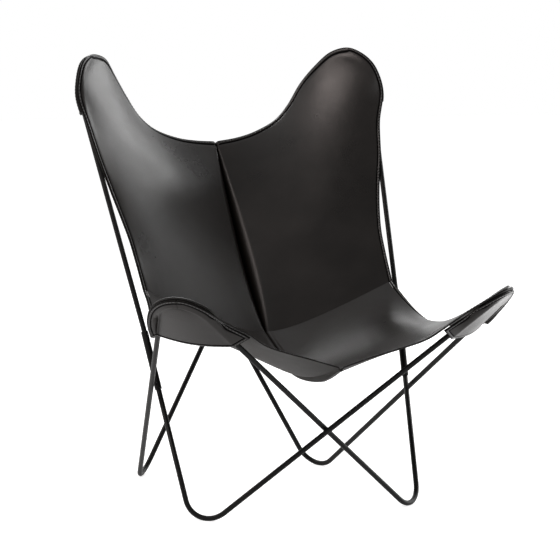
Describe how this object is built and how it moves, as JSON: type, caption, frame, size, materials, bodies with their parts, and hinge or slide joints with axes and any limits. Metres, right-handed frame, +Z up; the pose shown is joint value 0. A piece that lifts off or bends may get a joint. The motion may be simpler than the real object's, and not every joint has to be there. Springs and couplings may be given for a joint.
{
  "type": "butterfly sling chair",
  "caption": "Low sling lounge chair: sewn leather panels hang by corner pockets from the horns of a crossed frame of bent round steel bar.",
  "frame": {"origin": "on the floor under the middle of the chair's bounding box", "axes": "+X to the right seen from the front, the front faces -Y, +Z up"},
  "size_m": [0.7818, 0.892, 0.9465],
  "materials": {
    "frame_steel": "satin black powder coat",
    "screw_steel": "blackened",
    "sling_leather": "satin, charcoal black"
  },
  "bodies": {
    "root": {"back_bar_left": "frame_steel", "base_bar_left": "frame_steel", "side_sleeve_left": "frame_steel", "rear_sleeve_left": "frame_steel", "side_sleeve_left_screw": "screw_steel", "rear_sleeve_left_screw": "screw_steel", "back_bar_right": "frame_steel", "base_bar_right": "frame_steel", "side_sleeve_right": "frame_steel", "rear_sleeve_right": "frame_steel", "side_sleeve_right_screw": "screw_steel", "rear_sleeve_right_screw": "screw_steel", "front_weld": "frame_steel", "rear_weld": "frame_steel", "back_panel_left": "sling_leather", "seat_panel_left": "sling_leather", "back_pocket_left": "sling_leather", "seat_pocket_left": "sling_leather", "back_panel_right": "sling_leather", "seat_panel_right": "sling_leather", "back_pocket_right": "sling_leather", "seat_pocket_right": "sling_leather"}
  },
  "joints": []
}
